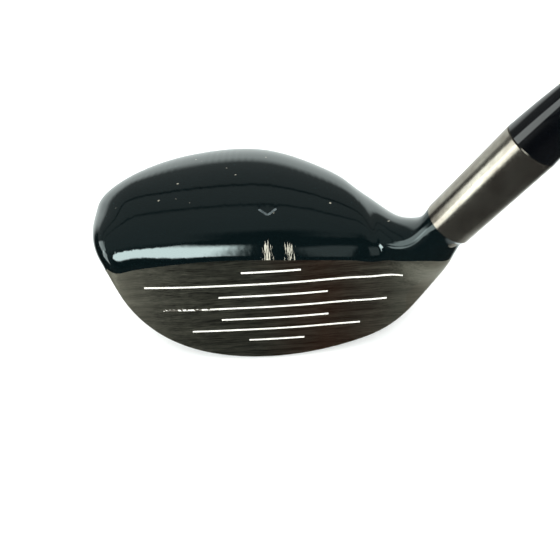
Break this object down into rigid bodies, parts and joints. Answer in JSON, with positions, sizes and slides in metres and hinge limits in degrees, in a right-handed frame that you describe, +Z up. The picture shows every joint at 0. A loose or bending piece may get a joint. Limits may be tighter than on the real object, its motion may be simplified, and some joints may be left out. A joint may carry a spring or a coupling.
{
  "type": "hybrid golf club",
  "caption": "Right-handed hybrid golf club: hollow steel head with gloss black crown, brushed scored face, bare steel hosel, ferrule, tapered graphite shaft and rubber grip.",
  "frame": {"origin": "on the ground directly below the middle of the face, with the club soled at address", "axes": "+Z up, +X from the middle of the face towards the heel and shaft, face looking towards -Y"},
  "size_m": [0.6024, 0.0747, 0.8968],
  "materials": {
    "black_paint": "gloss black paint over cast stainless steel",
    "pale_paint": "thin pale grey paint fill",
    "face_steel": "horizontally brushed dark steel",
    "white_enamel": "white enamel paint fill",
    "body_steel": "satin stainless steel casting",
    "sole_steel": "brushed stainless steel plate",
    "badge_aluminium": "spun aluminium disc",
    "weight_alloy": "as-cast heavy alloy",
    "hosel_steel": "satin turned stainless steel",
    "stop_plastic": "moulded nylon",
    "epoxy": "cured epoxy adhesive",
    "ferrule_plastic": "polished black cellulose plastic",
    "shaft_lacquer": "clear-coated black graphite composite",
    "tip_brass": "turned brass plug",
    "band_print": "silver printed band under lacquer",
    "paper_tape": "double-sided paper tape",
    "grip_rubber": "matt black moulded rubber",
    "ring_paint": "white paint fill in moulded rings",
    "cap_rubber": "hard black moulded rubber"
  },
  "bodies": {
    "root": {"crown_shell": "black_paint", "alignment_mark": "pale_paint", "face_plate": "face_steel", "score_line_fill": "white_enamel", "body_shell": "body_steel", "sole_plate": "sole_steel", "sole_badge": "badge_aluminium", "rear_weight": "weight_alloy", "hosel_tube": "hosel_steel", "shaft_stop": "stop_plastic", "epoxy_bond": "epoxy", "ferrule": "ferrule_plastic", "shaft": "shaft_lacquer", "tip_weight": "tip_brass", "shaft_band": "band_print", "grip_tape": "paper_tape", "grip": "grip_rubber", "grip_rings": "ring_paint", "grip_cap": "cap_rubber"}
  },
  "joints": []
}
